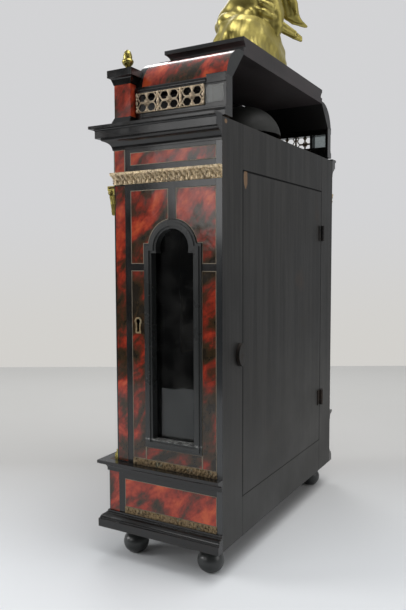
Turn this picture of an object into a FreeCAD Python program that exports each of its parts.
import FreeCAD, Part
import math
import os

Vector = FreeCAD.Vector

# Religieuse table clock, millimetres. Front faces -Y, back +Y, floor at z = 0.

# Carcase
case_width = 330.0
carcase_depth = 114.0
wall_thickness = 14.0
back_thickness = 6.6
board_thickness = 12.0
back_hardware = 4.8

# Feet and plinth
foot_height = 31.0
foot_radius = 14.0
foot_flat_radius = 7.0
foot_neck_radius = 8.0
foot_collar_radius = 11.0
foot_collar_height = 7.0
foot_collar_bevel = 1.0
foot_inset = 17.8
foot_back_inset = 23.4
foot_front_setback = 22.5
plinth_height = 62.0
plinth_projection = 26.5
base_reach = 9.1
base_height = 17.5
base_step = 1.3
surbase_reach = 9.5
surbase_height = 12.0
plinth_panel_lead = 5.5

# Front door
door_height = 296.0
door_thickness = 14.5
door_gap = 0.3
door_opening_radius = 108.0
door_opening_sill = 23.0
door_rebate = 3.0
door_glass_thickness = 2.0
door_glass_setback = 6.3
door_moulding_width = 6.0
door_moulding_height = 1.6
pilaster_width = 38.0
capital_height = 31.0
capital_reach = 9.5
capital_neck_reach = 3.0
pilaster_base_height = 12.0

# Entablature
architrave_height = 12.5
architrave_reach = 4.8
architrave_front_reach = 2.4
frieze_height = 23.5
cornice_height = 24.5
cornice_reach = 15.4
cornice_front_reach = 21.5

# Inlay let into the boards
inlay_depth = 1.0
line_width = 0.7
panel_border = 6.3
strip_height = 7.0
strip_proud = 0.6
cross_band = 7.0
cross_band_height = 206.6
panel_top_margin = 6.8
frieze_panel_margin = 4.0
centre_band = 9.0

# Side window
window_half_width = 34.1
window_arch_radius = 28.7
window_frame_width = 9.1
window_sill = 21.0
window_shoulder = 233.6
window_arch_drop = 4.2
frame_proud = 1.0
bead_proud = 1.2
bead_margin = 2.6
frame_depth = 8.0
side_glass_thickness = 2.0
glass_clearance = 0.3

# Back
back_stile_width = 45.0
back_rail_foot = 43.0
back_rail_top = 46.0
back_door_gap = 0.4

# Hood
hood_inset = 9.3
hood_wall = 12.0
hood_setback = 7.8
hood_front_thickness = 8.0
hood_base_height = 9.5
hood_base_reach = 3.0
hood_wall_height = 29.0
hood_round_width = 37.0
hood_round_height = 31.0
fillet_height = 6.0
fillet_reach = 2.4
end_block_height = 8.5
end_block_length = 22.0
platform_height = 18.0
platform_rise = 15.0
platform_fillet = 4.0
platform_neck = 5.0
platform_setback = 4.8
platform_top_setback = 9.3
platform_hollow = 0.6

# Frets
fret_cells = 3
fret_front_cells = 5
fret_height = 20.0
fret_thickness = 1.5
fret_border = 1.6
fret_sill = 3.0
fret_front_margin = 1.0
pane_width = 19.0
pane_thickness = 1.2
pane_back_margin = 2.0

# Pedestals and finials
pedestal_size = 20.5
pedestal_height = 42.0
pedestal_cap_height = 14.5
pedestal_cap_reach = 5.3
pedestal_base_height = 9.0
pedestal_base_reach = 2.2
pedestal_clearance = 0.3
finial_height = 23.4
finial_radius = 6.2

# Crest figure
mound_length = 130.0
mound_depth = 78.0
mound_height = 58.0
mound_lead = 3.5
mound_corners = 18
figure_setback = 46.0
foot_lead = 0.39
figure_height = 101.0

# Dial and hands
dial_drop = 125.0
dial_plate_margin = 11.0
dial_plate_thickness = 1.6
dial_plate_setback = 1.9
dial_foot_radius = 3.0
dial_hole_clearance = 1.2
winding_hole_margin = 2.0
batten_width = 17.0
batten_depth = 8.0
chapter_outer = 92.0
chapter_inner = 64.0
chapter_thickness = 1.2
hour_hand_length = 58.0
minute_hand_length = 84.0
hand_thickness = 1.0
hour_hub_radius = 7.0
minute_hub_radius = 5.5
hour_hand_angle = -55.0
minute_hand_angle = 60.0
hour_hand_lift = 2.4
hand_spacing = 1.4
arbor_tip = 0.6

# Movement
plate_width = 160.0
plate_bottom = 62.0
plate_top = 97.0
plate_thickness = 2.5
plate_setback = 14.0
plate_gap = 45.5
pillar_radius = 4.5
pivot_fit = 0.08
arbor_radius = 2.0
centre_arbor_radius = 2.0
great_teeth = 72
great_module = 1.0
centre_pinion_leaves = 12
train_teeth = 72
train_leaves = 6
centre_module = 0.7
third_module = 0.6
cannon_leaves = 12
minute_teeth = 36
minute_leaves = 10
hour_teeth = 40
cannon_module = 1.0
escape_radius = 15.0
escape_tooth = 3.2
escape_teeth = 30
barrel_angle = 20.0
barrel_radius = 22.0
winding_radius = 4.0
winding_square = 5.0
winding_fit = 0.1
wheel_thickness = 2.0
great_wheel_setback = 14.0
strike_wheel_setback = 5.0
centre_wheel_spacing = 5.0
third_wheel_setback = 12.5
escape_wheel_lead = 1.0
minute_wheel_lead = 6.0
motion_work_gap = 1.6
pinion_overlap = 0.8
cannon_overlap = 0.3
train_pinion_overlap = 1.5
cannon_wall = 1.2
hour_pipe_wall = 1.5
hour_pipe_fit = 0.1
minute_tube_wall = 1.2
crossing_rim = 4.4
crossing_hub = 5.5
crossing_spoke = 3.7
slim_arbor = 0.7
pinion_spine = 0.4
great_thickness = 3.0
pin_wheel_radius = 15.0
pin_count = 8
pin_radius = 0.9
pin_length = 4.0
pin_inset = 2.5
pin_wheel_angle = 80.0
pin_wheel_setback = 19.0
pallet_gap = 2.3
anchor_height = 22.0
anchor_spread = 42.0
anchor_hub_wall = 2.6
pallet_thickness = 3.4
pallet_heel = 1.2
pallet_shoulder = 6.5
pallet_lean = 1.4
pallet_hollow = 3.6
pallet_root = 1.0
pendulum_length = 172.0
pendulum_setback = 12.0
pendulum_eye_length = 4.0
pendulum_eye_wall = 2.2
pendulum_stem_lap = 1.0
bob_socket = 2.0
bob_nut_height = 4.0
bob_nut_lap = 0.6
pendulum_rod_radius = 1.25
bob_radius = 19.0
bob_thickness = 10.0
crutch_length = 62.0
crutch_gap = 0.9
crutch_setback = 3.0
crutch_thickness = 2.0
crutch_half_width = 1.6
crutch_fork_height = 3.0
crutch_hub_wall = 2.0
cock_foot_half = 7.0
cock_foot_height = 14.0
cock_arm_half = 4.0
cock_arm_height = 4.0
cock_thickness = 2.5
cock_rise = 9.0
cock_overhang = 3.5
cock_pin_lead = 1.5
count_wheel_rim = 4.0
count_notch_half = 1.2
count_notch_root = 1.0
strikes_in_turn = 78

# Bell and hammer
bell_radius = 46.0
bell_height = 33.0
bell_wall = 2.4
bell_offset = 21.7
bell_setback = 49.7
bell_lift = 7.0
bell_post_radius = 4.0
bell_flange_height = 2.0
bell_nut_height = 3.0
bell_stub_height = 4.0
hammer_head_radius = 5.0
hammer_head_length = 9.0
hammer_rest_gap = 6.6
hammer_arm_half = 1.6
hammer_arm_thickness = 2.4
hammer_arm_lead = 5.8
hammer_plate_gap = 3.5
hammer_hub_wall = 2.2
hammer_head_rise = 6.0
hammer_tail_half = 1.4
hammer_tail_lean = 1.0
hammer_tail_share = 0.42
hammer_slot_back = 14.0
hammer_slot_front = 20.0
hammer_slot_side = 3.0

# Lock, hinges and turn-button
lock_height = 148.0
lock_setback = 14.5
lock_case_height = 44.0
lock_case_depth = 20.0
lock_case_width = 10.0
lock_case_wall = 2.0
bolt_width = 4.0
bolt_height = 10.0
bolt_throw = 8.0
bolt_clearance = 0.3
keyhole_radius = 2.6
keyhole_height = 11.0
escutcheon_margin = 1.8
escutcheon_thickness = 0.8
knuckle_radius = 2.4
leaf_thickness = 1.0
hinge_pin_radius = 1.2
knuckle_gap = 0.3
door_leaf_width = 9.0
door_hinge_height = 36.0
door_hinge_margin = 40.0
back_hinge_height = 20.0
back_leaf_width = 9.0
back_hinge_low = 60.0
back_hinge_high = 56.0
button_length = 24.0
button_width = 14.6
button_thickness = 3.6
button_height = 194.5
button_clearance = 0.3
button_screw_radius = 1.6
button_margin = 0.7

# Levels and planes that follow from the sizes above
half_width = case_width / 2
inner_half = half_width - wall_thickness
hood_half_width = half_width - hood_inset
dial_plate_half_width = inner_half - dial_plate_margin
front_reach = door_gap + door_thickness + cornice_front_reach
back_y = (carcase_depth + front_reach - back_hardware) / 2
carcase_y = back_y - carcase_depth
door_back_y = carcase_y - door_gap
door_front_y = door_back_y - door_thickness
plinth_y = carcase_y - plinth_projection
back_inner_y = back_y - back_thickness
middle_y = back_y - carcase_depth / 2
base_z = foot_height
surbase_z = base_z + plinth_height
door_z = surbase_z + surbase_height
architrave_z = door_z + door_height
frieze_z = architrave_z + architrave_height
cornice_z = frieze_z + frieze_height
top_z = cornice_z + cornice_height
hood_front_y = carcase_y + hood_setback
hood_inner_y = hood_front_y + hood_front_thickness
pane_end_y = back_y - fret_border - pane_back_margin
fret_cell_width = (pane_end_y - pane_width - fret_border - hood_front_y - fret_front_margin) / fret_cells
hood_wall_z = top_z + hood_base_height
hood_round_z = hood_wall_z + hood_wall_height
hood_top_z = hood_round_z + hood_round_height
hood_flat_half = hood_half_width - hood_round_width
platform_z = hood_top_z + platform_rise
dial_z = architrave_z - dial_drop


# Shape helpers

closing_gap = 1e-6

def at_x(x):
    return lambda u, v: Vector(x, u, v)


def at_y(y):
    return lambda u, v: Vector(u, y, v)


def at_z(z):
    return lambda u, v: Vector(u, v, z)


def block(x, y, z):
    return Part.makeBox(x[1] - x[0], y[1] - y[0], z[1] - z[0], Vector(x[0], y[0], z[0]))


# Closed face from points; a pair of points is an arc through the first to the second.
def face(points, place):
    edges = []
    start = place(*points[0])
    here = start
    for move in points[1:]:
        if isinstance(move[0], tuple):
            through, end = [place(*point) for point in move]
            edges.append(Part.Arc(here, through, end).toShape())
        else:
            end = place(*move)
            edges.append(Part.LineSegment(here, end).toShape())
        here = end
    if not here.isEqual(start, closing_gap):
        edges.append(Part.LineSegment(here, start).toShape())
    return Part.Face(Part.Wire(edges))


def rectangle(u, v, place):
    return face([(u[0], v[0]), (u[1], v[0]), (u[1], v[1]), (u[0], v[1])], place)


def rod(radius, x, z, y):
    return Part.makeCylinder(radius, y[1] - y[0], Vector(x, y[0], z), Vector(0, 1, 0))


def upright(radius, x, y, z):
    return Part.makeCylinder(radius, z[1] - z[0], Vector(x, y, z[0]))


def turned(points, x, y, z):
    profile = face(points, lambda radius, height: Vector(x + radius, y, z + height))
    return profile.revolve(Vector(x, y, z), Vector(0, 0, 1), 360)


def mirrored(shape):
    return shape.mirror(Vector(0, 0, 0), Vector(1, 0, 0))


def both_sides(shapes):
    return list(shapes) + [mirrored(shape) for shape in shapes]


def joined(shapes):
    whole = shapes[0].fuse(shapes[1:]).removeSplitter()
    return whole.Solids[0] if len(whole.Solids) == 1 else whole


# Three mitred lengths of moulding round the two sides and the front.
def moulding(profile, half, front, base, reach, front_scale=1.0):
    front_reach_here = reach * front_scale
    outer_x = half + reach
    outer_y = front - front_reach_here
    height = max(point[-1][1] if isinstance(point[0], tuple) else point[1] for point in profile)
    side_plan = [(half, back_y), (outer_x, back_y), (outer_x, outer_y), (half, front)]
    front_plan = [(half, front), (outer_x, outer_y), (-outer_x, outer_y), (-half, front)]
    side = face(profile, lambda p, h: Vector(half + p, back_y, base + h))
    side = side.extrude(Vector(0, outer_y - back_y, 0))
    side = side.common(face(side_plan, at_z(base)).extrude(Vector(0, 0, height)))
    across = face(profile, lambda p, h: Vector(outer_x, front - p * front_scale, base + h))
    across = across.extrude(Vector(-2 * outer_x, 0, 0))
    across = across.common(face(front_plan, at_z(base)).extrude(Vector(0, 0, height)))
    return both_sides(side.Solids) + across.Solids


# Square turned block: one profile of half widths, seen alike from the front and the side.
def squared(profile, x, y, z):
    outline = [(half, height) for half, height in profile]
    outline += [(-half, height) for half, height in reversed(profile)]
    size = 2 * max(half for half, height in profile)
    along = face(outline, lambda u, v: Vector(x + u, y - size / 2, z + v)).extrude(Vector(0, size, 0))
    across = face(outline, lambda u, v: Vector(x - size / 2, y + u, z + v)).extrude(Vector(size, 0, 0))
    return along.common(across).Solids[0]


# One let-in panel: the shell, the line of the given width round it and the pocket that holds both.
def inlay(u, v, place, inward, holes, line):
    inner_u = (u[0] + line, u[1] - line)
    inner_v = (v[0] + line, v[1] - line)
    whole = rectangle(u, v, place)
    shell = rectangle(inner_u, inner_v, place)
    for hole, wider_hole in holes:
        whole = whole.cut(hole)
        shell = shell.cut(wider_hole)
    depth = inward * inlay_depth
    lines = whole.cut(shell).extrude(depth).Solids if line else []
    return shell.extrude(depth).Solids, lines, whole.extrude(depth)


# Pockets are gathered per board, shells and lines per body.
class InlaySet:
    def __init__(self):
        self.shells = []
        self.lines = []
        self.pockets = []

    def add(self, u, v, place, inward, holes=(), line=line_width):
        shells, lines, pocket = inlay(u, v, place, inward, holes, line)
        self.shells += shells
        self.lines += lines
        self.pockets.append(pocket)

    def sunk_into(self, board):
        return board.cut(self.pockets)


# Feet, plinth and boards

def bun_feet():
    neck_z = foot_height - foot_collar_height
    profile = [
        (0, 0), (foot_flat_radius, 0),
        ((foot_radius, neck_z * 0.45), (foot_neck_radius, neck_z * 0.9)),
        (foot_neck_radius, neck_z), (foot_collar_radius, neck_z + foot_collar_bevel),
        (foot_collar_radius, foot_height), (0, foot_height),
    ]
    foot_x = half_width - foot_inset
    rows = (back_y - foot_back_inset, plinth_y + foot_front_setback)
    return both_sides([turned(profile, foot_x, foot_y, 0) for foot_y in rows])


def plinth_boards():
    front = block((-half_width, half_width), (plinth_y, plinth_y + board_thickness), (base_z, surbase_z))
    cheek = block((inner_half, half_width), (plinth_y + board_thickness, carcase_y), (base_z, surbase_z))
    return front, cheek


def carcase_boards():
    floor_top = base_z + board_thickness
    bottom = block((-inner_half, inner_half), (plinth_y + board_thickness, back_inner_y), (base_z, floor_top))
    threshold = block((-half_width, half_width), (plinth_y, carcase_y), (surbase_z, door_z))
    top_levels = (top_board_z(), top_board_z() + board_thickness)
    top = block((-inner_half, inner_half), (carcase_y, back_inner_y), top_levels)
    return [bottom, threshold, top.cut(hammer_slot())]


def top_board_z():
    return architrave_z + back_rail_gap() - board_thickness


# Height of the back's top edge above the architrave's underside.
def back_rail_gap():
    return board_thickness + back_rail_top


def frieze_rail():
    return block((-half_width, half_width), (door_front_y, carcase_y), (architrave_z, top_z))


def base_moulding():
    reach = base_reach
    height = base_height
    profile = [
        (0, 0), (reach, 0), (reach, height * 0.49), (reach - base_step, height * 0.49),
        (reach - base_step, height * 0.57), ((reach * 0.68, height * 0.73), (reach * 0.33, height * 0.8)),
        (reach * 0.33, height * 0.87), (reach * 0.18, height * 0.87), (reach * 0.18, height), (0, height),
    ]
    return moulding(profile, half_width, plinth_y, base_z, reach)


def surbase_moulding():
    reach = surbase_reach
    height = surbase_height
    profile = [
        (0, 0), (reach * 0.16, 0), (reach * 0.16, height * 0.15),
        ((reach * 0.32, height * 0.5), (reach * 0.79, height * 0.65)),
        (reach * 0.79, height * 0.74), (reach, height * 0.74), (reach, height), (0, height),
    ]
    return moulding(profile, half_width, plinth_y, surbase_z, reach)


def architrave_band():
    reach = architrave_reach
    height = architrave_height
    profile = [
        (0, 0), (reach * 0.2, 0), ((reach * 0.28, height * 0.5), (reach * 0.85, height * 0.76)),
        (reach, height * 0.8), (reach, height), (0, height),
    ]
    return moulding(profile, half_width, door_front_y, architrave_z, reach, architrave_front_reach / reach)


def cornice():
    reach = cornice_reach
    height = cornice_height
    profile = [
        (0, 0), (reach * 0.05, 0),
        ((reach * 0.16, height * 0.25), (reach * 0.46, height * 0.39)),
        (reach * 0.51, height * 0.43), (reach * 0.51, height * 0.49), (reach * 0.74, height * 0.49),
        (reach * 0.74, height * 0.78),
        ((reach * 0.79, height * 0.85), (reach * 0.88, height * 0.87)),
        (reach, height * 0.88), (reach, height), (0, height),
    ]
    return moulding(profile, half_width, door_front_y, cornice_z, reach, cornice_front_reach / reach)


# Side windows

def window_outline(inset, place):
    half = window_half_width - inset
    radius = window_arch_radius - inset
    sill = door_z + window_sill + inset
    shoulder = door_z + window_shoulder - inset
    centre = door_z + window_shoulder - window_arch_drop
    reach = math.sqrt(radius ** 2 - (shoulder - centre) ** 2)
    points = [
        (middle_y - half, sill), (middle_y + half, sill), (middle_y + half, shoulder),
        (middle_y + reach, shoulder),
        ((middle_y, centre + radius), (middle_y - reach, shoulder)), (middle_y - half, shoulder),
    ]
    return face(points, place)


def window_prism(inset, x):
    return window_outline(inset, at_x(x[0])).extrude(Vector(x[1] - x[0], 0, 0))


def window_moulding():
    back_x = half_width - frame_depth
    face_x = half_width + frame_proud
    bead_x = face_x + bead_proud
    frame = window_prism(0, (back_x, face_x)).cut(window_prism(window_frame_width, (back_x, face_x)))
    bead = window_prism(bead_margin, (face_x, bead_x))
    bead = bead.cut(window_prism(window_frame_width - bead_margin, (face_x, bead_x)))
    return joined([frame, bead])


def side_glass():
    front_x = half_width - frame_depth
    return window_prism(glass_clearance, (front_x - side_glass_thickness, front_x))


# Inlay of one side (right), built on the plane x = half_width

def side_inlay():
    sides = InlaySet()
    place = at_x(half_width)
    inward = Vector(-1, 0, 0)
    front_y = carcase_y + panel_border
    rear_y = back_inner_y
    strip_top = door_z + strip_height
    band_low = door_z + cross_band_height
    band_high = band_low + cross_band
    panel_top = architrave_z - panel_top_margin
    window_low = middle_y - window_half_width
    window_high = middle_y + window_half_width
    hole = window_outline(-line_width, place)
    wider = window_outline(-2 * line_width, place)
    sides.add((front_y, window_low), (strip_top, band_low), place, inward)
    sides.add((window_high, rear_y), (strip_top, band_low), place, inward)
    sides.add((window_low, window_high), (strip_top, door_z + window_sill), place, inward)
    for low, high in ((front_y, middle_y - centre_band / 2), (middle_y + centre_band / 2, rear_y)):
        sides.add((low, high), (band_high, panel_top), place, inward, [(hole, wider)])
    sides.add((front_y, rear_y), frieze_panel_levels(), place, inward)
    sides.add((carcase_y - plinth_panel_lead, rear_y), plinth_panel_levels(), place, inward)
    return sides


def frieze_panel_levels():
    return (frieze_z + panel_border, cornice_z - frieze_panel_margin)


def plinth_panel_levels():
    low = base_z + base_height + strip_height
    return (low, surbase_z - panel_border)


def cheek_inlay():
    cheek = InlaySet()
    place = at_x(half_width)
    levels = (base_z + base_height, surbase_z)
    front_y = plinth_y + inlay_depth
    cheek.add((front_y, front_y + board_thickness), levels, place, Vector(-1, 0, 0), line=0)
    return cheek


def frieze_end_inlay():
    end = InlaySet()
    depth = (door_front_y + line_width, carcase_y - line_width)
    end.add(depth, (frieze_z, cornice_z), at_x(half_width), Vector(-1, 0, 0))
    return end


def front_inlay():
    plinth = InlaySet()
    inward = Vector(0, 1, 0)
    half = half_width - pilaster_width
    plinth.add((-half, half), plinth_panel_levels(), at_y(plinth_y), inward)
    for side in (-1, 1):
        ends = sorted((side * (half + panel_border), side * (half_width - panel_border * 0.5)))
        plinth.add(ends, (base_z + base_height, surbase_z), at_y(plinth_y), inward)
    frieze = InlaySet()
    levels = frieze_panel_levels()
    frieze.add((-half, half), levels, at_y(door_front_y), inward)
    for side in (-1, 1):
        ends = sorted((side * (half + panel_border), side * (half_width - panel_border)))
        frieze.add(ends, levels, at_y(door_front_y), inward)
    return plinth, frieze


def gilt_strips():
    outer = half_width + strip_proud
    side_y = (carcase_y + panel_border, back_inner_y)
    side = block((half_width, outer), side_y, (door_z, door_z + strip_height))
    low = base_z + base_height
    plinth_y_span = (carcase_y - plinth_panel_lead, back_inner_y)
    plinth = block((half_width, outer), plinth_y_span, (low, low + strip_height))
    half = half_width - pilaster_width
    front = block((-half, half), (plinth_y - strip_proud, plinth_y), (low, low + strip_height))
    return both_sides([side, plinth]) + [front, escutcheon()]


# Keyhole, seen on the right side board

def keyhole_place():
    return carcase_y + lock_setback, door_z + lock_height


def keyhole_prism(margin, x):
    centre_y, centre_z = keyhole_place()
    top = upright_disc(keyhole_radius + margin, x, centre_y, centre_z + keyhole_height / 2)
    slot_half = keyhole_radius * 0.6 + margin
    foot = centre_z - keyhole_height / 2 - margin
    slot = block(x, (centre_y - slot_half, centre_y + slot_half), (foot, centre_z + keyhole_height / 2))
    return joined([top, slot])


def upright_disc(radius, x, y, z):
    return Part.makeCylinder(radius, x[1] - x[0], Vector(x[0], y, z), Vector(1, 0, 0))


def escutcheon():
    span = (half_width, half_width + escutcheon_thickness)
    return keyhole_prism(escutcheon_margin, span).cut(keyhole_prism(0, span))


def bolt_levels(clearance=0.0):
    centre_z = keyhole_place()[1]
    return (centre_z - bolt_height / 2 - clearance, centre_z + bolt_height / 2 + clearance)


def bolt_sides(clearance=0.0):
    centre_x = inner_half - lock_case_width / 2
    return (centre_x - bolt_width / 2 - clearance, centre_x + bolt_width / 2 + clearance)


def lock_case():
    front_y = batten_back_y()
    centre_z = keyhole_place()[1]
    levels = (centre_z - lock_case_height / 2, centre_z + lock_case_height / 2)
    case = block((inner_half - lock_case_width, inner_half), (front_y, front_y + lock_case_depth), levels)
    reach = (front_y, front_y + lock_case_depth - lock_case_wall)
    case = case.cut(block(bolt_sides(bolt_clearance), reach, bolt_levels(bolt_clearance)))
    return [case]


def lock_bolt():
    front_y = door_back_y + door_gap + bolt_clearance
    rear_y = batten_back_y() + lock_case_depth - lock_case_wall - bolt_throw
    return [block(bolt_sides(), (front_y, rear_y), bolt_levels())]


def side_board():
    board = block((inner_half, half_width), (carcase_y, back_inner_y), (base_z, top_z))
    return board.cut(window_prism(0, (inner_half, half_width)))


# Back

def back_frame():
    stile = block((half_width - back_stile_width, half_width), (back_inner_y, back_y), (base_z, back_top_z()))
    half = half_width - back_stile_width
    foot = block((-half, half), (back_inner_y, back_y), (base_z, base_z + back_rail_foot))
    head = block((-half, half), (back_inner_y, back_y), (back_top_z() - back_rail_top, back_top_z()))
    return both_sides([stile]) + [foot, head]


def back_top_z():
    return architrave_z + back_rail_gap()


def back_door():
    half = half_width - back_stile_width - back_door_gap
    levels = (base_z + back_rail_foot + back_door_gap, back_top_z() - back_rail_top - back_door_gap)
    return [block((-half, half), (back_inner_y, back_y), levels)]


def back_hinge_levels():
    low = base_z + back_rail_foot + back_hinge_low
    high = back_top_z() - back_rail_top - back_hinge_high
    return [(middle - back_hinge_height / 2, middle + back_hinge_height / 2) for middle in (low, high)]


# Flat hinge leaf with its knuckles, behind the plane y = back_y.
def flat_leaf(side, levels, knuckles, axis_x):
    ends = sorted((axis_x + side * back_door_gap / 2, axis_x + side * back_leaf_width))
    leaf = block(ends, (back_y, back_y + leaf_thickness), levels)
    turns = [upright(knuckle_radius, axis_x, back_y + knuckle_radius, span) for span in knuckles]
    return joined([leaf] + turns)


def knuckle_spans(levels):
    third = (levels[1] - levels[0]) / 3
    low = (levels[0], levels[0] + third)
    middle = (levels[0] + third + knuckle_gap, levels[1] - third - knuckle_gap)
    high = (levels[1] - third, levels[1])
    return low, middle, high


def back_hinges():
    axis_x = -(half_width - back_stile_width) + back_door_gap / 2
    axis_y = back_y + knuckle_radius
    fixed = []
    moving = []
    for levels in back_hinge_levels():
        low, middle, high = knuckle_spans(levels)
        pin = upright(hinge_pin_radius, axis_x, axis_y, levels)
        bore = upright(hinge_pin_radius + pivot_fit, axis_x, axis_y, levels)
        clear = [upright(knuckle_radius + knuckle_gap, axis_x, axis_y, span)
                 for span in ((levels[0], middle[0]), (low[1], high[0]), (middle[1], levels[1]))]
        fixed.append(joined([flat_leaf(-1, levels, (low, high), axis_x).cut(clear[1]), pin]))
        moving.append(flat_leaf(1, levels, (middle,), axis_x).cut([clear[0], clear[2], bore]))
    return fixed, moving


def turn_button():
    centre_x = half_width - back_stile_width + back_door_gap + button_margin + button_width / 2
    centre_z = base_z + button_height
    half_length = button_length / 2
    half = button_width / 2
    points = [
        (centre_x, centre_z - half_length), ((centre_x + half, centre_z), (centre_x, centre_z + half_length)),
        ((centre_x - half, centre_z), (centre_x, centre_z - half_length)),
    ]
    low_y = back_y + button_clearance
    plate = face(points, at_y(low_y)).extrude(Vector(0, button_thickness, 0))
    bore = rod(button_screw_radius + pivot_fit, centre_x, centre_z, (low_y, low_y + button_thickness))
    shank = rod(button_screw_radius, centre_x, centre_z, (back_y, low_y + button_thickness))
    return [plate.cut(bore)], [shank]


# Hood

def hood_outline(place, inset=0.0, base=top_z):
    half = hood_half_width - inset
    top = hood_top_z - inset
    bend_x, bend_z = round_point(inset)
    points = [
        (half, base), (half, hood_round_z), ((bend_x, bend_z), (hood_flat_half, top)),
        (-hood_flat_half, top), ((-bend_x, bend_z), (-half, hood_round_z)), (-half, base),
    ]
    return face(points, place)


def fret_levels():
    low = hood_wall_z + fret_sill
    return (low, low + fret_height)


def fret_side_span():
    low = hood_front_y + fret_front_margin
    return (low, low + fret_cell_width * fret_cells)


# Row of pierced cells: four round openings in each.
def fret_plate(start, cells, levels, place, outward):
    span = (start, start + cells * fret_cell_width)
    plate = rectangle(span, levels, place)
    middle_v = (levels[0] + levels[1]) / 2
    half_u = fret_cell_width / 6
    half_v = fret_height / 4 - fret_border * 0.5
    holes = []
    for cell in range(cells):
        for step_u in (0.29, 0.71):
            for step_v in (-1, 1):
                centre = (start + (cell + step_u) * fret_cell_width, middle_v + step_v * (fret_height / 4))
                holes.append(lens(centre, half_u, half_v, place))
    return plate.cut(holes).extrude(outward * fret_thickness)


# Lens-shaped opening from two arcs.
def lens(centre, half_u, half_v, place):
    u, v = centre
    upper = ((u, v + half_v), (u + half_u, v))
    lower = ((u, v - half_v), (u - half_u, v))
    return face([(u - half_u, v), upper, lower], place)


def side_fret():
    return fret_plate(fret_side_span()[0], fret_cells, fret_levels(), at_x(hood_half_width), Vector(1, 0, 0))


def front_fret():
    start = -fret_front_cells * fret_cell_width / 2
    return fret_plate(start, fret_front_cells, fret_levels(), at_y(hood_front_y), Vector(0, -1, 0))


def fret_opening_levels():
    low, high = fret_levels()
    return (low + fret_border, high - fret_border)


def pane_span():
    low = fret_side_span()[1] + fret_border
    return (low, pane_end_y)


def hood_wall_board():
    inner = hood_half_width - hood_wall
    wall = block((inner, hood_half_width), (hood_inner_y, back_y), (hood_wall_z, hood_round_z))
    low, high = fret_side_span()
    fret_room = (max(low, hood_inner_y) + fret_border, high - fret_border)
    wall = wall.cut(block((inner, hood_half_width), fret_room, fret_opening_levels()))
    pane_room = block((inner, hood_half_width), pane_span(), fret_opening_levels())
    return wall.cut(pane_room)


def hood_pane():
    return block((hood_half_width - pane_thickness, hood_half_width), pane_span(), fret_opening_levels())


def hood_front():
    board = hood_outline(at_y(hood_front_y)).extrude(Vector(0, hood_front_thickness, 0))
    half = fret_front_cells * fret_cell_width / 2 - fret_border
    opening = block((-half, half), (hood_front_y, hood_inner_y), fret_opening_levels())
    return board.cut(opening)


def hood_mouldings():
    side = hood_half_width
    inner = side - hood_wall
    reach = hood_base_reach
    height = hood_base_height
    base = [
        (inner, 0), (side + reach, 0), (side + reach, height * 0.5),
        ((side + reach * 0.75, height * 0.72), (side + reach * 0.2, height * 0.82)),
        (side + reach * 0.2, height), (inner, height),
    ]
    rail = face(base, lambda u, v: Vector(u, hood_inner_y, top_z + v))
    rail = rail.extrude(Vector(0, back_y - hood_inner_y, 0))
    low = fret_levels()[1]
    half_reach = fillet_reach * 0.5
    bead = [
        (side, low), (side + half_reach, low),
        ((side + fillet_reach, low + fillet_height * 0.5), (side + half_reach, low + fillet_height)),
        (side, low + fillet_height),
    ]
    fillet_end = back_y - end_block_length
    fillet = face(bead, at_y(hood_front_y)).extrude(Vector(0, fillet_end - hood_front_y, 0))
    end_levels = (low, low + end_block_height)
    end_block = block((side - half_reach, side + half_reach), (fillet_end, back_y), end_levels)
    end_block = end_block.cut(hood_outline(at_y(hood_front_y)).extrude(Vector(0, carcase_depth, 0)))
    return both_sides([rail, fillet, end_block])


def hood_quarter_round():
    points = [
        (hood_half_width, hood_round_z), (round_point(), (hood_flat_half, hood_top_z)),
        (hood_flat_half, platform_z - platform_height), (hood_half_width - hood_wall, hood_round_z),
    ]
    return face(points, at_y(hood_inner_y)).extrude(Vector(0, back_y - hood_inner_y, 0))


# Middle of the quarter-round's arc.
def round_point(inset=0.0):
    bend = math.sqrt(0.5)
    width = (hood_round_width - inset) * bend
    height = (hood_round_height - inset) * bend
    return (hood_flat_half + width, hood_round_z + height)


# Platform: a board between the quarter-rounds with a fillet, a hollow neck and a square edge above.
def hood_platform():
    board_low = platform_z - platform_height
    half = hood_flat_half
    board = block((-half, half), (hood_inner_y, back_y), (board_low, hood_top_z))
    fillet_top = hood_top_z + platform_fillet
    edge_low = platform_z - platform_fillet
    hollow_z = (fillet_top + edge_low) / 2 + platform_hollow
    front = hood_front_y + platform_setback
    profile = [
        (half, hood_top_z), (half, fillet_top), (half - platform_neck, fillet_top),
        ((half - platform_neck * 0.7, hollow_z), (half, edge_low)), (half, platform_z),
    ]
    across = profile + [
        (-half, platform_z), (-half, edge_low),
        ((platform_neck * 0.7 - half, hollow_z), (platform_neck - half, fillet_top)),
        (-half, fillet_top), (-half, hood_top_z),
    ]
    width_wise = face(across, at_y(front)).extrude(Vector(0, back_y - front, 0))
    top_front = hood_front_y + platform_top_setback + platform_neck * 0.5
    neck_front = top_front + platform_neck
    depth = [
        (front, hood_top_z), (front, fillet_top), (neck_front, fillet_top),
        ((neck_front - platform_neck * 0.3, hollow_z), (top_front, edge_low)),
        (top_front, platform_z), (back_y, platform_z), (back_y, hood_top_z),
    ]
    depth_wise = face(depth, at_x(-half)).extrude(Vector(2 * half, 0, 0))
    return joined([board, width_wise.common(depth_wise)])


# Corner pedestals

def pedestal_place():
    return half_width - pedestal_size / 2, hood_front_y - pedestal_clearance - pedestal_size / 2


def pedestal_body():
    x, y = pedestal_place()
    half = pedestal_size / 2
    low = top_z + pedestal_base_height
    return block((x - half, x + half), (y - half, y + half), (low, top_z + pedestal_height))


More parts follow.
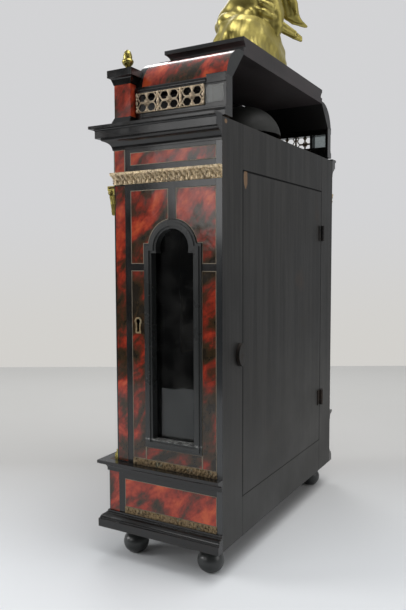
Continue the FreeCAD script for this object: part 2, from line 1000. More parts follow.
# Caps and bases stop short of the hood where they would run into it.
def pedestal_mouldings():
    x, y = pedestal_place()
    half = pedestal_size / 2
    base_half = half + pedestal_base_reach
    base_profile = [(base_half, 0), (base_half, pedestal_base_height * 0.45), (half, pedestal_base_height)]
    base = squared(base_profile, x, y, top_z)
    reach = pedestal_cap_reach
    height = pedestal_cap_height
    cap_profile = [
        (half + reach * 0.1, 0), (half + reach * 0.2, height * 0.12), (half + reach * 0.42, height * 0.36),
        (half + reach * 0.55, height * 0.44), (half + reach, height * 0.5), (half + reach, height),
    ]
    cap = squared(cap_profile, x, y, top_z + pedestal_height)
    clear_y = hood_front_y - pedestal_clearance
    room = hood_outline(at_y(clear_y), -pedestal_clearance).extrude(Vector(0, carcase_depth, 0))
    base_levels = (top_z, top_z + pedestal_base_height)
    sides = block((hood_flat_half, half_width + reach), (clear_y, back_y), base_levels)
    return [base.cut(room).cut(sides), cap.cut(room)]


def finial():
    x, y = pedestal_place()
    radius = finial_radius
    height = finial_height
    profile = [
        (0, 0), (radius * 0.74, 0), (radius * 0.74, height * 0.05), (radius * 0.42, height * 0.11),
        (radius * 0.36, height * 0.21), (radius * 0.47, height * 0.27),
        ((radius * 0.86, height * 0.37), (radius, height * 0.49)), (radius * 0.87, height * 0.56),
        (radius * 0.74, height * 0.58), (radius * 0.77, height * 0.68), (radius * 0.69, height * 0.8),
        (radius * 0.48, height * 0.92), (radius * 0.2, height * 0.985), (0, height),
    ]
    return turned(profile, x, y, top_z + pedestal_height + pedestal_cap_height)


# Crest figure

def figure_y():
    return back_y - figure_setback


# Rough mound: rings of a wavy oval joined by flat facets, steep behind and widest at the foot.
mound_rings = ((0.0, 1.0), (0.26, 0.92), (0.52, 0.85), (0.78, 0.77), (1.0, 0.6))


def figure_mound():
    layers = []
    for ring, (rise, size) in enumerate(mound_rings):
        layer = []
        for corner in range(mound_corners):
            angle = 2 * math.pi * corner / mound_corners
            wave = 1 + 0.03 * math.sin(3 * angle + 2 * ring) + 0.025 * math.sin(7 * angle - ring)
            x = mound_length / 2 * size * wave * math.cos(angle)
            y = figure_y() - mound_lead + mound_depth / 2 * size * wave * math.sin(angle)
            layer.append(Vector(x, y, platform_z + mound_height * rise))
        layers.append(layer)
    return loft_of_facets(layers)


def loft_of_facets(layers):
    faces = []
    count = len(layers[0])
    for low, high in zip(layers, layers[1:]):
        for corner in range(count):
            after = (corner + 1) % count
            for third in (low[after], high[corner]):
                faces.append(Part.Face(Part.makePolygon([low[corner], third, high[after], low[corner]])))
    for layer in (layers[0], layers[-1]):
        faces.append(Part.Face(Part.makePolygon(layer + [layer[0]])))
    return Part.Solid(Part.makeShell(faces))


# Place on the figure, from hundredths of its height.
def figure_point(x, y, z):
    unit = figure_height / 100
    return Vector(x * unit, figure_y() + y * unit, platform_z + mound_height + z * unit)


# Oval body about a centre, with its own three half sizes.
def oval(centre, sizes):
    ball = Part.makeSphere(1.0)
    matrix = FreeCAD.Matrix()
    matrix.scale(Vector(*sizes) * (figure_height / 100))
    matrix.move(figure_point(*centre))
    return ball.transformGeometry(matrix)


# Limb through round sections along a path of (x, y, z, radius).
def limb(stations):
    points = [figure_point(x, y, z) for x, y, z, radius in stations]
    wires = []
    for place, station in enumerate(stations):
        ahead = points[min(place + 1, len(points) - 1)] - points[max(place - 1, 0)]
        wires.append(Part.Wire(Part.makeCircle(station[3] * figure_height / 100, points[place], ahead)))
    return Part.makeLoft(wires, True, False)


# Seated figure: trunk, head, arms and draped legs, with a cloth down the back that ends in two tails.
def figure():
    reach = (mound_depth / 2 + foot_lead) * 100 / figure_height
    trunk = limb([(0, 4, -3, 19), (0, 4, 10, 18), (0, 3, 28, 14.5), (0, 2, 47, 16),
                  (0, 2, 60, 10.5), (0, 1, 69, 5.5), (0, 0, 79, 5)])
    head = oval((0, -1, 87), (9.5, 11, 12.5))
    thighs = [limb([(side * 9, 3, 10, 12.5), (side * 12, -12, 6, 11.5), (side * 14, 14 - reach, 0, 9.5)])
              for side in (-1, 1)]
    shins = [limb([(side * 14, 15 - reach, 1, 9), (side * 14, 9 - reach, -14, 7.5),
                   (side * 15, 5 - reach, -30, 5.5)]) for side in (-1, 1)]
    feet = [oval((side * 15.5, -reach, -33), (5, 9, 4.5)) for side in (-1, 1)]
    lap_fold = oval((19, -15, -4), (12, 15, 10))
    arms = [limb([(side * 11, 2, 57, 7.5), (side * 20, 0, 42, 6.5), (side * 21, -4, 32, 5.8),
                  (side * 15, -16, 24, 5), (side * 10, -24, 16, 4.2)]) for side in (-1, 1)]
    cloak = limb([(-2, 10, 56, 10), (-5, 15, 32, 15), (-8, 18, 10, 17), (-9, 18, -6, 16)])
    fall = limb([(-10, 4, 56, 7), (-24, 17, 53, 8), (-34, 28, 44, 8.5), (-36, 30, 26, 8.5),
                 (-38, 31, 7, 7.5), (-44, 36, -1, 5), (-52, 42.5, -4, 2)])
    lower_tail = limb([(-36, 30, 10, 7), (-39, 32, -9, 5), (-47, 38.5, -21, 2)])
    whole = trunk
    for piece in [head, cloak, fall, lower_tail, lap_fold] + thighs + shins + feet + arms:
        whole = whole.fuse(piece)
    return whole


# Front door

def door_opening(inset, place):
    half = door_opening_radius - inset
    sill = door_z + door_opening_sill + inset
    points = [(half, sill), (half, dial_z), ((0, dial_z + half), (-half, dial_z)), (-half, sill)]
    return face(points, place)


def door_frame():
    levels = (door_z + door_gap, architrave_z - door_gap)
    frame = block((-half_width, half_width), (door_front_y, door_back_y), levels)
    frame = frame.cut(door_opening(0, at_y(door_front_y)).extrude(Vector(0, door_thickness, 0)))
    rebate_y = door_front_y + door_glass_setback
    rebate = door_opening(-door_rebate, at_y(rebate_y)).extrude(Vector(0, door_back_y - rebate_y, 0))
    frame = frame.cut(rebate)
    mortise_y = (door_back_y - bolt_throw - bolt_clearance, door_back_y)
    return frame.cut(block(bolt_sides(bolt_clearance), mortise_y, bolt_levels(bolt_clearance)))


def door_glass():
    low = door_front_y + door_glass_setback
    return door_opening(glass_clearance - door_rebate, at_y(low)).extrude(Vector(0, door_glass_thickness, 0))


def door_moulding():
    low = door_front_y - door_moulding_height
    ring = door_opening(-door_moulding_width, at_y(low)).cut(door_opening(0, at_y(low)))
    return ring.extrude(Vector(0, door_moulding_height, 0))


def door_inlay():
    door = InlaySet()
    place = at_y(door_front_y)
    inward = Vector(0, 1, 0)
    half = half_width - pilaster_width
    base_top = door_z + pilaster_base_height
    capital_low = architrave_z - door_gap - capital_height
    for side in (-1, 1):
        ends = sorted((side * (half + panel_border * 0.5), side * (half_width - panel_border * 0.5)))
        door.add(ends, (base_top, capital_low), place, inward)
        spandrel = sorted((side * centre_band / 2, side * (half - panel_border * 0.5)))
        margin = door_moulding_width + line_width
        holes = [(door_opening(-margin, place), door_opening(-margin - line_width, place))]
        door.add(spandrel, (dial_z, architrave_z - door_gap - line_width), place, inward, holes)
    low_rail = (door_z + panel_border, door_z + door_opening_sill - door_moulding_width - line_width)
    door.add((-half + panel_border, half - panel_border), low_rail, place, inward)
    for side in (-1, 1):
        edge_y = (door_front_y + inlay_depth + line_width, door_back_y - line_width)
        levels = (door_z + 2 * line_width, architrave_z - 2 * line_width)
        door.add(edge_y, levels, at_x(side * half_width), Vector(-side, 0, 0), line=0)
    return door


# Capital that swells towards its top, and a stepped pilaster base.
def door_mounts():
    outer = half_width - line_width
    inner = half_width - pilaster_width + line_width
    width = Vector(outer - inner, 0, 0)
    neck_z = architrave_z - door_gap - capital_height
    capital = face(capital_profile(), lambda reach, rise: Vector(inner, door_front_y - reach, neck_z + rise))
    foot_z = door_z + door_gap
    steps = pilaster_base_profile()
    base = face(steps, lambda reach, rise: Vector(inner, door_front_y - reach, foot_z + rise))
    return both_sides([capital.extrude(width), base.extrude(width)])


def capital_profile():
    neck = capital_neck_reach
    height = capital_height
    return [
        (0, 0), (neck, 0), (neck, height * 0.08), (neck * 0.7, height * 0.1),
        ((neck * 1.1, height * 0.55), (capital_reach * 0.85, height * 0.82)),
        (capital_reach, height * 0.86), (capital_reach, height), (0, height),
    ]


def pilaster_base_profile():
    neck = capital_neck_reach
    height = pilaster_base_height
    return [
        (0, 0), (neck * 1.4, 0), (neck * 1.4, height * 0.4),
        ((neck * 1.2, height * 0.6), (neck * 0.7, height * 0.7)),
        (neck * 0.7, height - door_gap), (0, height - door_gap),
    ]


def door_hinge_axis():
    return -half_width - knuckle_radius, carcase_y - door_gap / 2


# Front door hinges lie on the left side: the door's leaf forward, the case's leaf behind.
def door_hinges():
    axis_x, axis_y = door_hinge_axis()
    fixed = []
    moving = []
    levels_list = [(door_z + door_hinge_margin, door_z + door_hinge_margin + door_hinge_height),
                   (architrave_z - door_hinge_margin - door_hinge_height, architrave_z - door_hinge_margin)]
    leaf_x = (-half_width - leaf_thickness, -half_width)
    room = block((-half_width - 4 * knuckle_radius, -half_width), (door_front_y, back_y), (0, platform_z))
    for levels in levels_list:
        low, middle, high = knuckle_spans(levels)
        barrel = upright(knuckle_radius + knuckle_gap, axis_x, axis_y, levels)
        case_leaf = block(leaf_x, (axis_y + door_gap / 2, axis_y + door_leaf_width), levels)
        case_leaf = case_leaf.cut(barrel.common(block(leaf_x, (door_front_y, back_y), (low[1], high[0]))))
        turns = [upright(knuckle_radius, axis_x, axis_y, span).common(room) for span in (low, high)]
        pin = upright(hinge_pin_radius, axis_x, axis_y, levels)
        fixed.append(joined([case_leaf, pin] + turns))
        door_leaf = block(leaf_x, (axis_y - door_leaf_width, axis_y - door_gap / 2), levels)
        for span in ((levels[0], middle[0]), (middle[1], levels[1])):
            door_leaf = door_leaf.cut(barrel.common(block(leaf_x, (door_front_y, back_y), span)))
        turn = upright(knuckle_radius, axis_x, axis_y, middle).common(room)
        bore = upright(hinge_pin_radius + pivot_fit, axis_x, axis_y, levels)
        moving.append(joined([door_leaf, turn]).cut(bore))
    return fixed, moving


# Dial and hands

def dial_plate_y():
    return carcase_y + dial_plate_setback


def batten_back_y():
    return dial_plate_y() + dial_plate_thickness + batten_depth


def dial_battens():
    y = (dial_plate_y() + dial_plate_thickness, batten_back_y())
    batten = block((inner_half - batten_width, inner_half), y, (door_z, architrave_z))
    slot = block(bolt_sides(bolt_clearance), y, bolt_levels(bolt_clearance))
    return [batten.cut(slot), mirrored(batten)]


def dial_plate():
    y = (dial_plate_y(), dial_plate_y() + dial_plate_thickness)
    plate = block((-dial_plate_half_width, dial_plate_half_width), y, (door_z, architrave_z))
    holes = [rod(hour_pipe_outer() + dial_hole_clearance, 0, dial_z, y)]
    for x, z in (barrel_place(1), barrel_place(-1)):
        holes.append(rod(winding_radius + winding_hole_margin, x, z, y))
    plate = plate.cut(holes)
    feet = []
    for x, z in plate_corners():
        feet.append(rod(dial_foot_radius, x, z, (y[1], plate_front_y())))
    return [plate] + feet


def chapter_ring():
    y = (dial_plate_y() - chapter_thickness, dial_plate_y())
    return [rod(chapter_outer, 0, dial_z, y).cut(rod(chapter_inner, 0, dial_z, y))]


def hand(length, y, hub, bore, direction):
    half = hub * 0.32
    loop_z = length * 0.56
    loop = hub * 0.95
    blade = [
        (-half, 0), (-half * 0.7, loop_z - loop * 0.6), (half * 0.7, loop_z - loop * 0.6), (half, 0),
    ]
    tip = [
        (-half * 0.8, loop_z + loop * 0.6), (-half * 1.6, length * 0.78), (0, length),
        (half * 1.6, length * 0.78), (half * 0.8, loop_z + loop * 0.6),
    ]
    thick = Vector(0, hand_thickness, 0)
    place = lambda u, v: Vector(u, y, dial_z + v)
    ring = rod(loop, 0, dial_z + loop_z, (y, y + hand_thickness))
    ring = ring.cut(rod(loop * 0.5, 0, dial_z + loop_z, (y, y + hand_thickness)))
    disc = rod(hub, 0, dial_z, (y, y + hand_thickness))
    shape = joined([disc, face(blade, place).extrude(thick), ring, face(tip, place).extrude(thick)])
    shape = shape.cut(rod(bore, 0, dial_z, (y, y + hand_thickness)))
    return shape.rotated(Vector(0, 0, dial_z), Vector(0, 1, 0), direction)


# Movement

def plate_front_y():
    return carcase_y + plate_setback


def plate_inner_y():
    return plate_front_y() + plate_thickness


def back_plate_y():
    return plate_inner_y() + plate_gap


def movement_back_y():
    return back_plate_y() + plate_thickness


def plate_corners():
    inset = 2 * pillar_radius
    half = plate_width / 2 - inset
    rises = (inset - plate_bottom, plate_top - inset)
    return [(side * half, dial_z + rise) for side in (-1, 1) for rise in rises]


def barrel_place(side):
    reach = great_module * (great_teeth + centre_pinion_leaves) / 2
    angle = math.radians(-barrel_angle)
    return side * reach * math.cos(angle), dial_z + reach * math.sin(angle)


def third_place():
    return 0.0, dial_z + centre_module * (train_teeth + train_leaves) / 2


def escape_place():
    return 0.0, third_place()[1] + third_module * (train_teeth + train_leaves) / 2


def anchor_place():
    return 0.0, escape_place()[1] + anchor_height


# The pin wheel stands straight above the strike barrel's inner flank.
def pin_wheel_place():
    reach = great_module * (great_teeth + centre_pinion_leaves) / 2
    x, z = barrel_place(-1)
    angle = math.radians(pin_wheel_angle)
    return x + reach * math.cos(angle), z + reach * math.sin(angle)


def hammer_place():
    x, z = pin_wheel_place()
    return x - pin_wheel_radius * 0.5, z + pin_wheel_radius * 2.3


def minute_place():
    return 0.0, dial_z - cannon_module * (cannon_leaves + minute_teeth) / 2


def hour_module():
    return cannon_module * (cannon_leaves + minute_teeth) / (minute_leaves + hour_teeth)


# Tooth forms: (modules from the pitch circle, half thickness as a share of the pitch).
wheel_form = ((-1.3, 0.235), (0.0, 0.21), (0.55, 0.14), (1.0, 0.05))
leaf_form = ((-1.5, 0.10), (0.0, 0.155), (0.5, 0.085))


# Toothed disc with a tooth pointing along the given direction, in degrees from +X towards +Z.
def toothed(teeth, module, form, x, z, y, direction, bore):
    pitch = 2 * math.pi / teeth
    points = []
    for tooth in range(teeth):
        middle = math.radians(direction) + tooth * pitch
        flank = [(teeth * module / 2 + rise * module, share * pitch) for rise, share in form]
        for radius, half in flank:
            points.append((x + radius * math.cos(middle - half), z + radius * math.sin(middle - half)))
        for radius, half in reversed(flank):
            points.append((x + radius * math.cos(middle + half), z + radius * math.sin(middle + half)))
    disc = face(points, at_y(y[0])).extrude(Vector(0, y[1] - y[0], 0))
    return disc.cut(rod(bore, x, z, y))


# Direction from one arbor to another, in degrees.
def bearing(start, end):
    return math.degrees(math.atan2(end[1] - start[1], end[0] - start[0]))


def wheel(teeth, module, start, end, y, bore):
    return toothed(teeth, module, wheel_form, start[0], start[1], y, bearing(start, end), bore)


# A pinion shows the wheel a gap, half a pitch from a leaf.
def pinion(leaves, module, start, end, y, bore):
    direction = bearing(start, end) + 180 / leaves
    return toothed(leaves, module, leaf_form, start[0], start[1], y, direction, bore)


# Four crossings leave a rim, four spokes and a hub.
def crossed(disc, place, pitch_radius, y):
    x, z = place
    rim = pitch_radius - crossing_rim
    half = crossing_spoke / 2
    ring = rod(rim, x, z, y).cut(rod(crossing_hub, x, z, y))
    bars = [block((x - half, x + half), y, (z - rim, z + rim)),
            block((x - rim, x + rim), y, (z - half, z + half))]
    return disc.cut(ring.cut(bars))


def great_wheel_y():
    low = back_plate_y() - great_wheel_setback
    return (low, low + great_thickness)


def strike_wheel_y():
    low = plate_inner_y() + strike_wheel_setback
    return (low, low + great_thickness)


def centre_wheel_y():
    low = great_wheel_y()[1] + centre_wheel_spacing
    return (low, low + wheel_thickness)


def third_wheel_y():
    low = plate_inner_y() + third_wheel_setback
    return (low, low + wheel_thickness)


def wider(span, extra):
    return (span[0] - extra, span[1] + extra)


def minute_wheel_y():
    low = plate_front_y() - minute_wheel_lead
    return (low, low + wheel_thickness)


def hour_wheel_y():
    low = minute_wheel_y()[0] - motion_work_gap - wheel_thickness
    return (low, low + wheel_thickness)


def hour_pipe_outer():
    return cannon_pipe_outer() + hour_pipe_fit + hour_pipe_wall


def hour_hand_y():
    return dial_plate_y() - chapter_thickness - hour_hand_lift


def minute_hand_y():
    return hour_hand_y() - hand_thickness - hand_spacing


def movement_frame():
    front_y = (plate_front_y(), plate_inner_y())
    rear_y = (back_plate_y(), movement_back_y())
    levels = (dial_z - plate_bottom, dial_z + plate_top)
    sides = (-plate_width / 2, plate_width / 2)
    slim = (third_place(), escape_place(), anchor_place(), pin_wheel_place(), hammer_place())
    pivots = [(place, arbor_radius) for place in slim]
    pivots += [((0.0, dial_z), centre_arbor_radius)]
    pivots += [(barrel_place(side), winding_radius) for side in (-1, 1)]
    plates = []
    for span in (front_y, rear_y):
        holes = [rod(radius + pivot_fit, place[0], place[1], span) for place, radius in pivots]
        plates.append(block(sides, span, levels).cut(holes))
    pillars = [rod(pillar_radius, x, z, (front_y[1], rear_y[0])) for x, z in plate_corners()]
    stud_x, stud_z = minute_place()
    stud = rod(arbor_radius, stud_x, stud_z, (hour_wheel_y()[0], front_y[0]))
    return plates + pillars + [stud] + [suspension_cock()]


def pendulum_y():
    low = movement_back_y() + pendulum_setback
    return (low, low + pendulum_eye_length)


# Cock on the back plate: foot, arm and a pin that the pendulum's eye hangs on.
def suspension_cock():
    x, z = anchor_place()
    arm_low = z + cock_rise
    arm_high = arm_low + cock_arm_height
    front = movement_back_y()
    rear = pendulum_y()[1] + cock_overhang
    foot_x = (-cock_foot_half, cock_foot_half)
    arm_x = (-cock_arm_half, cock_arm_half)
    foot = block(foot_x, (front, front + cock_thickness), (arm_low, arm_low + cock_foot_height))
    arm = block(arm_x, (front, rear), (arm_low, arm_high))
    leg = block(arm_x, (rear - cock_thickness, rear), (z - cock_arm_half, arm_high))
    pin = rod(arbor_radius, x, z, (pendulum_y()[0] - cock_pin_lead, rear))
    return joined([foot, arm, leg, pin])


def centre_wheel():
    place = (0.0, dial_z)
    front = minute_hand_y() - hand_thickness - arbor_tip
    arbor = rod(centre_arbor_radius, 0, dial_z, (front, movement_back_y()))
    cannon_y = wider(minute_wheel_y(), cannon_overlap)
    pipe = rod(cannon_pipe_outer(), 0, dial_z, (minute_hand_y(), cannon_y[0])).cut(arbor)
    cannon = pinion(cannon_leaves, cannon_module, place, minute_place(), cannon_y, centre_arbor_radius)
    train = wheel(train_teeth, centre_module, place, third_place(), centre_wheel_y(), centre_arbor_radius)
    train = crossed(train, place, centre_module * train_teeth / 2, centre_wheel_y())
    drive_y = wider(great_wheel_y(), pinion_overlap)
    drive = pinion(centre_pinion_leaves, great_module, place, barrel_place(1), drive_y, centre_arbor_radius)
    return [arbor, pipe, cannon, train, drive]


def cannon_pipe_outer():
    return centre_arbor_radius + cannon_wall


def minute_hand():
    low = minute_hand_y() - hand_thickness
    return [hand(minute_hand_length, low, minute_hub_radius, centre_arbor_radius, minute_hand_angle)]


def hour_hand():
    place = (0.0, dial_z)
    bore = cannon_pipe_outer() + hour_pipe_fit
    span = (hour_hand_y(), hour_wheel_y()[1])
    pipe = rod(hour_pipe_outer(), 0, dial_z, span).cut(rod(bore, 0, dial_z, span))
    disc = wheel(hour_teeth, hour_module(), place, minute_place(), hour_wheel_y(), hour_pipe_outer())
    pointer = hand(hour_hand_length, hour_hand_y(), hour_hub_radius, hour_pipe_outer(), hour_hand_angle)
    return [pipe, disc, pointer]


def minute_wheel():
    place = minute_place()
    bore = arbor_radius + winding_fit
    disc = wheel(minute_teeth, cannon_module, place, (0.0, dial_z), minute_wheel_y(), bore)
    leaves_y = wider(hour_wheel_y(), cannon_overlap)
    leaves = pinion(minute_leaves, hour_module(), place, (0.0, dial_z), leaves_y, bore)
    tube_y = (leaves_y[1], minute_wheel_y()[0])
    tube = rod(arbor_radius + minute_tube_wall, place[0], place[1], tube_y)
    tube = tube.cut(rod(bore, place[0], place[1], tube_y))
    return [disc, leaves, tube]


def third_wheel():
    place = third_place()
    disc = wheel(train_teeth, third_module, place, escape_place(), third_wheel_y(), arbor_radius * slim_arbor)
    disc = crossed(disc, place, third_module * train_teeth / 2, third_wheel_y())
    leaves_y = wider(centre_wheel_y(), train_pinion_overlap)
    leaves = pinion(train_leaves, centre_module, place, (0.0, dial_z), leaves_y, arbor_radius * pinion_spine)
    return [train_arbor(place, leaves_y), disc, leaves]


# Slim arbor with pivots in both plates and a thin spine through its pinion.
def train_arbor(place, leaves_y):
    x, z = place
    core = rod(arbor_radius * slim_arbor, x, z, (plate_inner_y(), back_plate_y()))
    core = core.cut(rod(arbor_radius, x, z, leaves_y))
    spine = rod(arbor_radius * pinion_spine, x, z, leaves_y)
    ends = [rod(arbor_radius, x, z, span) for span in plate_spans()]
    return joined(core.Solids + ends + [spine])


def plate_spans():
    return (plate_front_y(), plate_inner_y()), (back_plate_y(), movement_back_y())


def escape_wheel_y():
    low = centre_wheel_y()[0] - escape_wheel_lead
    return (low, low + wheel_thickness)


def escape_wheel():
    x, z = escape_place()
    leaves_y = wider(third_wheel_y(), train_pinion_overlap)
    spine = arbor_radius * pinion_spine
    leaves = pinion(train_leaves, third_module, escape_place(), third_place(), leaves_y, spine)
    pitch = 2 * math.pi / escape_teeth
    root = escape_radius - escape_tooth
    points = []
    for tooth in range(escape_teeth):
        for share, radius in ((0.0, escape_radius), (0.18, root), (0.62, root)):
            angle = (tooth + share) * pitch
            points.append((x + radius * math.cos(angle), z + radius * math.sin(angle)))
    disc = face(points, at_y(escape_wheel_y()[0])).extrude(Vector(0, wheel_thickness, 0))
    disc = disc.cut(rod(arbor_radius * slim_arbor, x, z, escape_wheel_y()))
    return [train_arbor(escape_place(), leaves_y), leaves, disc]


# Anchor: an arched yoke with two pallets beside the escape wheel, its arbor and the crutch.
def anchor():
    x, z = anchor_place()
    y = escape_wheel_y()
    plate = face(anchor_yoke(), at_y(y[0])).extrude(Vector(0, wheel_thickness, 0))
    plate = plate.cut(rod(arbor_radius, x, z, y))
    arbor = rod(arbor_radius, x, z, (plate_front_y(), crutch_y()[1]))
    return [plate, arbor, crutch()]


def anchor_yoke():
    z = anchor_place()[1]
    reach = escape_radius + pallet_gap
    angle = math.radians(anchor_spread)
    tip = reach * math.sin(angle)
    low = escape_place()[1] + reach * math.cos(angle)
    hub = arbor_radius + anchor_hub_wall
    right = [
        (hub, z + hub * 0.6), (tip + pallet_lean, low + pallet_shoulder),
        (tip + pallet_thickness, low + pallet_heel), (tip, low), (tip - pallet_root, low + pallet_hollow),
    ]
    left = [(-u, v) for u, v in reversed(right)]
    arch = ((0, z - hub * 0.8), left[0])
    return right + [arch] + left[1:]


def crutch_y():
    low = movement_back_y() + crutch_setback
    return (low, low + crutch_thickness)


def crutch():
    x, z = anchor_place()
    y = crutch_y()
    fork_z = z - crutch_length
    fork_levels = (fork_z - crutch_fork_height, fork_z)
    inner = pendulum_rod_radius + crutch_gap
    outer = inner + crutch_half_width
    bar = block((-crutch_half_width, crutch_half_width), y, (fork_z, z))
    arm = joined([bar, rod(arbor_radius + crutch_hub_wall, x, z, y)]).cut(rod(arbor_radius, x, z, y))
    cross = block((-outer, outer), y, fork_levels)
    prong = block((inner, outer), (y[0], pendulum_y()[1]), fork_levels)
    return joined([arm, cross] + both_sides([prong]))


def pendulum():
    x, z = anchor_place()
    y = pendulum_y()
    middle = (y[0] + y[1]) / 2
    outer = arbor_radius + pendulum_eye_wall
    bore = rod(arbor_radius + pivot_fit, x, z, y)
    eye = rod(outer, x, z, y).cut(bore)
    bob_z = z - pendulum_length
    bob_top = bob_z + bob_radius - bob_socket
    stem = upright(pendulum_rod_radius, x, middle, (bob_top, z - arbor_radius - pendulum_stem_lap))
    half = bob_thickness / 2
    profile = [
        (0, -half), (bob_radius * 0.5, -half * 0.86), ((bob_radius * 0.86, -half * 0.5), (bob_radius, 0)),
        ((bob_radius * 0.86, half * 0.5), (bob_radius * 0.5, half * 0.86)), (0, half),
    ]
    bob = face(profile, lambda r, h: Vector(x + r, middle + h, bob_z))
    bob = bob.revolve(Vector(x, middle, bob_z), Vector(0, 1, 0), 360)
    bob = bob.cut(upright(pendulum_rod_radius, x, middle, (bob_top, bob_z + 2 * bob_radius)))
    bob_foot = bob_z - bob_radius
    nut_levels = (bob_foot - bob_nut_height, bob_foot + bob_nut_lap)
    nut = upright(pendulum_rod_radius * 2, x, middle, nut_levels).cut(bob)
    return [joined([eye, stem]), bob, nut]


def going_barrel():
    place = barrel_place(1)
    wheel_y = great_wheel_y()
    return barrel(place, (strike_wheel_y()[0], wheel_y[0]), wheel_y, (0.0, dial_z))


# The strike side's great wheel is at the front, out of the centre pinion's plane.
def strike_barrel():
    wheel_y = strike_wheel_y()
    drum_y = (wheel_y[1], great_wheel_y()[0])
    return barrel(barrel_place(-1), drum_y, wheel_y, pin_wheel_place()) + [count_wheel()]


def barrel(place, drum_y, wheel_y, target):
    x, z = place
    bore = winding_radius + winding_fit
    drum = rod(barrel_radius, x, z, drum_y).cut(rod(bore, x, z, drum_y))
    return [drum, wheel(great_teeth, great_module, place, target, wheel_y, bore)]


def count_wheel():
    x, z = barrel_place(-1)
    y = great_wheel_y()
    rim = barrel_radius + count_wheel_rim
    disc = rod(rim, x, z, y).cut(rod(winding_radius + winding_fit, x, z, y))
    notches = []
    notch_levels = (-count_notch_half, count_notch_half)
    blows = 0
    for hour in range(1, 13):
        blows += hour
        angle = 360 * blows / strikes_in_turn
        notch = block((barrel_radius + count_notch_root, rim + count_notch_root), y, notch_levels)
        notch.rotate(Vector(0, 0, 0), Vector(0, -1, 0), angle)
        notch.translate(Vector(x, 0, z))
        notches.append(notch)
    return disc.cut(notches)


def winding_arbor(side):
    x, z = barrel_place(side)
    body = rod(winding_radius, x, z, (plate_front_y(), movement_back_y()))
    half = winding_square / 2
    square = block((x - half, x + half), (dial_plate_y() - arbor_tip, plate_front_y()), (z - half, z + half))
    return [joined([body, square])]


def pin_wheel_y():
    low = plate_inner_y() + pin_wheel_setback
    return (low, low + great_thickness)


# Levels of the pins, which are also those of the hammer's tail.
def pin_y():
    low = pin_wheel_y()[1]
    return (low, low + pin_length)


def pin_wheel():
    place = pin_wheel_place()
    x, z = place
    arbor = rod(arbor_radius, x, z, (plate_front_y(), movement_back_y()))
    disc_y = pin_wheel_y()
    disc = rod(pin_wheel_radius, x, z, disc_y).cut(arbor)
    leaves_y = wider(strike_wheel_y(), pinion_overlap)
    leaves = pinion(centre_pinion_leaves, great_module, place, barrel_place(-1), leaves_y, arbor_radius)
    pins = []
    for pin in range(pin_count):
        angle = 2 * math.pi * pin / pin_count
        reach = pin_wheel_radius - pin_inset
        pins.append(rod(pin_radius, x + reach * math.cos(angle), z + reach * math.sin(angle), pin_y()))
    return [arbor, disc, leaves] + pins


# Bell and hammer

def bell_place():
    over_hammer = back_plate_y() - hammer_plate_gap + hammer_arm_lead
    return bell_offset, min(back_y - bell_setback, over_hammer)


def bell_rim_z():
    return top_board_z() + board_thickness + bell_lift


def bell():
    x, y = bell_place()
    bore = bell_post_radius * 0.5
    flat = bell_post_radius * 1.4
    inner = bell_radius - bell_wall
    crown = bell_height - bell_wall
    bend = math.sqrt(0.5)
    profile = [
        (bell_radius, 0), ((bell_radius * bend * 1.05, bell_height * bend), (flat, bell_height)),
        (bore, bell_height), (bore, crown), (flat, crown),
        ((inner * bend * 1.05, crown * bend), (inner, 0)),
    ]
    return [turned(profile, x, y, bell_rim_z())]


def bell_stand():
    x, y = bell_place()
    low = top_board_z() + board_thickness
    crown = bell_rim_z() + bell_height
    post = upright(bell_post_radius, x, y, (low, crown - bell_wall))
    flange = upright(bell_post_radius * 2.4, x, y, (low, low + bell_flange_height))
    stub = upright(bell_post_radius * 0.5, x, y, (crown - bell_wall, crown + bell_stub_height))
    nut = upright(bell_post_radius * 1.1, x, y, (crown, crown + bell_nut_height)).cut(stub)
    return [joined([flange, post, stub]), nut]


def hammer_arm_y():
    middle = bell_place()[1] - hammer_arm_lead
    return (middle - hammer_arm_thickness / 2, middle + hammer_arm_thickness / 2)


# Slot in the top board that the hammer's arm swings in.
def hammer_slot():
    low = top_board_z()
    x = hammer_head_x()
    span = (x - hammer_slot_back, x + hammer_slot_front)
    return block(span, wider(hammer_arm_y(), hammer_slot_side), (low, low + board_thickness))


def hammer_head_x():
    return bell_offset - bell_radius + bell_wall + hammer_rest_gap + hammer_head_length / 2


def hammer():
    x, z = hammer_place()
    arbor = rod(arbor_radius, x, z, (plate_front_y(), movement_back_y()))
    return [arbor, hammer_arm().cut(arbor), hammer_tail().cut(arbor)]


def hammer_arm():
    x, z = hammer_place()
    y = hammer_arm_y()
    head_x = hammer_head_x()
    head_z = bell_rim_z() + hammer_head_rise
    half = hammer_arm_half
    arm = face([(x - half, z), (head_x - half, head_z), (head_x + half, head_z), (x + half, z)], at_y(y[0]))
    arm = arm.extrude(Vector(0, y[1] - y[0], 0))
    hub = rod(arbor_radius + hammer_hub_wall, x, z, y)
    head_start = Vector(head_x - hammer_head_length / 2, (y[0] + y[1]) / 2, head_z)
    head = Part.makeCylinder(hammer_head_radius, hammer_head_length, head_start, Vector(1, 0, 0))
    return joined([hub, arm, head])


# The tail ends just clear of the pins that lift it.
def hammer_tail():
    x, z = hammer_place()
    y = pin_y()
    half = hammer_tail_half
    lean = hammer_tail_lean
    end = z - (z - pin_wheel_place()[1]) * hammer_tail_share
    tail = face([(x - half, z), (x + half, z), (x + half + lean, end), (x - half + lean, end)], at_y(y[0]))
    tail = tail.extrude(Vector(0, y[1] - y[0], 0))
    return joined([tail, rod(arbor_radius + hammer_hub_wall, x, z, y)])


# Assembly

def save(name, solids):
    shape = Part.makeCompound(solids) if len(solids) > 1 else solids[0]
    shape.exportStep(os.path.join("parts", name + ".step"))


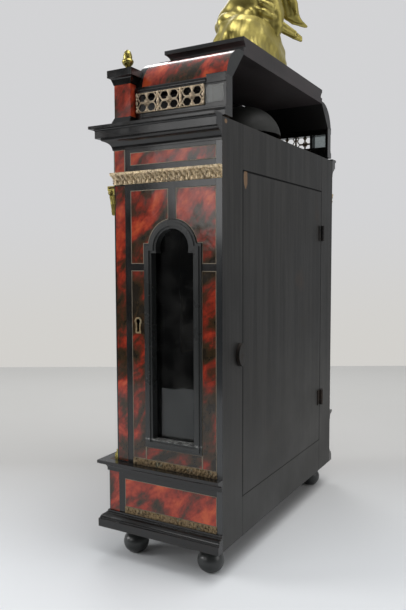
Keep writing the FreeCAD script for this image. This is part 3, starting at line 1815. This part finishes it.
def save_case():
    sides = side_inlay()
    cheek = cheek_inlay()
    frieze_end = frieze_end_inlay()
    plinth, frieze = front_inlay()
    right = sides.sunk_into(side_board())
    left = mirrored(right)
    plinth_front, plinth_cheek = plinth_boards()
    plinth_cheek = sides.sunk_into(cheek.sunk_into(plinth_cheek))
    plinth_front = cheek.sunk_into(plinth_front)
    plinth_front = mirrored(cheek.sunk_into(mirrored(plinth.sunk_into(plinth_front))))
    rail = frieze.sunk_into(frieze_end.sunk_into(frieze_rail()))
    rail = mirrored(frieze_end.sunk_into(mirrored(rail)))
    keyhole = keyhole_prism(0, (inner_half, half_width))
    save("side_board_right", [right.cut(keyhole)])
    save("side_board_left", [left])
    save("plinth_boards", [plinth_front] + both_sides([plinth_cheek]))
    save("carcase_boards", carcase_boards() + [rail])
    shells = both_sides(sides.shells + cheek.shells + frieze_end.shells) + plinth.shells + frieze.shells
    lines = both_sides(sides.lines + cheek.lines + frieze_end.lines) + plinth.lines + frieze.lines
    save("tortoiseshell_case", [shell.cut(keyhole) for shell in shells])
    save("brass_lines", lines)
    save("gilt_strips", gilt_strips())
    save("bun_feet", bun_feet())
    save("plinth_mouldings", base_moulding() + surbase_moulding())
    save("architrave_band", architrave_band())
    save("cornice", cornice())
    save("window_mouldings", both_sides([window_moulding()]))
    save("side_glass", both_sides([side_glass()]))
    save("back_frame", back_frame())


def save_hood():
    save("hood_mouldings", hood_mouldings())
    save("hood_wall_right", [hood_wall_board()])
    save("hood_wall_left", [mirrored(hood_wall_board())])
    save("hood_front", [hood_front()])
    save("hood_quarter_rounds", both_sides([hood_quarter_round()]))
    save("hood_platform", [hood_platform()])
    save("hood_frets", both_sides([side_fret()]) + [front_fret()])
    save("hood_panes", both_sides([hood_pane()]))
    save("pedestals", both_sides([pedestal_body()]))
    save("pedestal_mouldings", both_sides(pedestal_mouldings()))
    save("finials", both_sides([finial()]))
    save("figure_mound", [figure_mound()])
    crest = figure().cut(figure_mound())
    save("figure", crest.Solids)
    save("bell", bell())
    save("bell_stand", bell_stand())


def save_doors():
    door = door_inlay()
    frame = door.sunk_into(door_frame())
    door_fixed, door_moving = door_hinges()
    back_fixed, back_moving = back_hinges()
    button, screw = turn_button()
    save("front_door_frame", [frame])
    save("door_tortoiseshell", door.shells)
    save("door_brass_lines", door.lines)
    save("door_glass", [door_glass()])
    save("door_window_moulding", [door_moulding()])
    save("door_mounts", door_mounts())
    save("door_hinge_leaves", door_moving)
    save("back_door", back_door())
    save("back_door_hinge_leaves", back_moving)
    save("case_hinge_leaves", door_fixed + back_fixed + screw)
    save("turn_button", button)
    save("lock_case", lock_case())
    save("lock_bolt", lock_bolt())


def save_movement():
    save("dial_battens", dial_battens())
    save("dial_plate", dial_plate())
    save("chapter_ring", chapter_ring())
    save("movement_frame", movement_frame())
    save("centre_wheel", centre_wheel())
    save("minute_hand", minute_hand())
    save("hour_hand", hour_hand())
    save("minute_wheel", minute_wheel())
    save("third_wheel", third_wheel())
    save("escape_wheel", escape_wheel())
    save("anchor", anchor())
    save("pendulum", pendulum())
    save("going_barrel", going_barrel())
    save("strike_barrel", strike_barrel())
    save("winding_arbor_going", winding_arbor(1))
    save("winding_arbor_strike", winding_arbor(-1))
    save("pin_wheel", pin_wheel())
    save("hammer", hammer())


os.makedirs("parts", exist_ok=True)
save_case()
save_hood()
save_doors()
save_movement()
